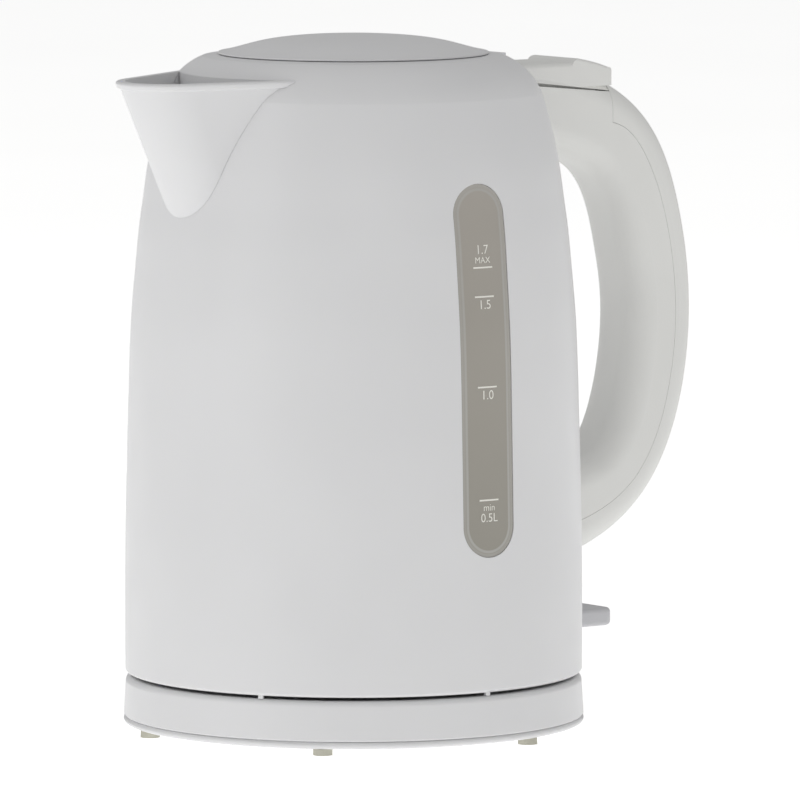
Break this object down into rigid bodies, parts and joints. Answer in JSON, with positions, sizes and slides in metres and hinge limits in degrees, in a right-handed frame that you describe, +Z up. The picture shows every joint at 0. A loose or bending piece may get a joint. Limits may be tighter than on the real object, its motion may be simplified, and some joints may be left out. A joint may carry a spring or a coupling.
{
  "type": "electric kettle",
  "caption": "Cordless electric kettle: tall white jug with spout, domed hinged lid, loop handle, tinted water gauges and a round lift-off power base.",
  "frame": {"origin": "on the swivel axis, at the table plane under the base; the flat hub under the base sits 1 mm above it", "axes": "+Z up along the swivel axis, -X towards the spout, +X towards the handle, gauges at -Y and +Y"},
  "size_m": [0.2268, 0.1534, 0.2312],
  "materials": {
    "shell_white": "satin moulded polypropylene",
    "handle_grey": "fine matt moulded plastic",
    "lever_grey": "smooth matt moulded plastic",
    "smoke_window": "clear moulded, smoke tinted",
    "seal_rubber": "moulded silicone",
    "foot_rubber": "moulded rubber",
    "stainless": "brushed",
    "screw_steel": "zinc plated",
    "spring_steel": "drawn wire",
    "contact_brass": "stamped",
    "diffuser_aluminium": "cast",
    "control_dark": "glass filled moulding",
    "lamp_glass": "clear",
    "mesh_steel": "woven"
  },
  "bodies": {
    "base": {"base_top_shell": "shell_white", "base_bottom_plate": "shell_white", "base_feet": "foot_rubber", "base_screws": "screw_steel", "base_connector": "control_dark", "base_connector_screws": "screw_steel", "base_contact_earth": "contact_brass", "base_contact_live": "contact_brass", "base_contact_neutral": "contact_brass", "cord_gland": "foot_rubber"},
    "connector": {"jug_connector": "control_dark", "connector_earth_pin": "contact_brass", "connector_ring_inner": "contact_brass", "connector_ring_outer": "contact_brass"},
    "lid": {"lid_cover": "shell_white", "lid_inner": "shell_white"},
    "lever": {"release_lever": "handle_grey"},
    "latch": {"latch_slider": "control_dark"},
    "paddle": {"switch_lever": "lever_grey"},
    "jug": {"jug_body": "shell_white", "spout": "shell_white", "gauge_window_left": "smoke_window", "gauge_window_right": "smoke_window", "gauge_seal_left": "seal_rubber", "gauge_seal_right": "seal_rubber", "element_plate": "stainless", "element_seal": "seal_rubber", "element_clamp": "control_dark", "element_screws": "screw_steel", "heat_diffuser": "diffuser_aluminium", "heating_element": "stainless", "thermostat_control": "control_dark", "bimetal_disc": "spring_steel", "steam_bimetal": "spring_steel", "steam_tube": "shell_white", "bottom_cover": "shell_white", "bottom_cover_screws": "screw_steel", "indicator_lamp": "lamp_glass", "switch_pin": "screw_steel", "trip_spring": "spring_steel", "handle_shell": "handle_grey", "handle_cover": "handle_grey", "handle_screws": "screw_steel", "lever_pin": "screw_steel", "lever_spring": "spring_steel", "latch_spring": "spring_steel", "filter_frame": "lever_grey", "filter_mesh": "mesh_steel", "lid_hinge_pin": "screw_steel", "lid_spring": "spring_steel"}
  },
  "joints": [
    {"name": "jug_lift", "type": "slide", "parent": "base", "child": "connector", "axis": [0, 0, 1], "range_m": [0, 0.1]},
    {"name": "jug_turn", "type": "hinge", "parent": "connector", "child": "jug", "pos_m": [0, 0, 0.018], "axis": [0, 0, 1], "continuous": true},
    {"name": "lid_hinge", "type": "hinge", "parent": "jug", "child": "lid", "pos_m": [0.05, 0, 0.219], "axis": [0, 1, 0], "range_deg": [0, 75]},
    {"name": "lever_press", "type": "hinge", "parent": "jug", "child": "lever", "pos_m": [0.096, 0, 0.205], "axis": [0, -1, 0], "range_deg": [0, 1.6], "stiffness_Nm_per_rad": 3, "springref_deg": -1.15, "deforming": ["lever_spring"]},
    {"name": "latch_slide", "type": "slide", "parent": "jug", "child": "latch", "axis": [1, 0, 0], "range_m": [0, 0.0016], "deforming": ["latch_spring"]},
    {"name": "switch_press", "type": "hinge", "parent": "jug", "child": "paddle", "pos_m": [0.062, 0, 0.031], "axis": [0, 1, 0], "range_deg": [0, 12], "deforming": ["trip_spring"]}
  ],
  "couplings": [
    {"joint": "latch_slide", "follows": "lever_press", "m_per_rad": 0.057}
  ]
}
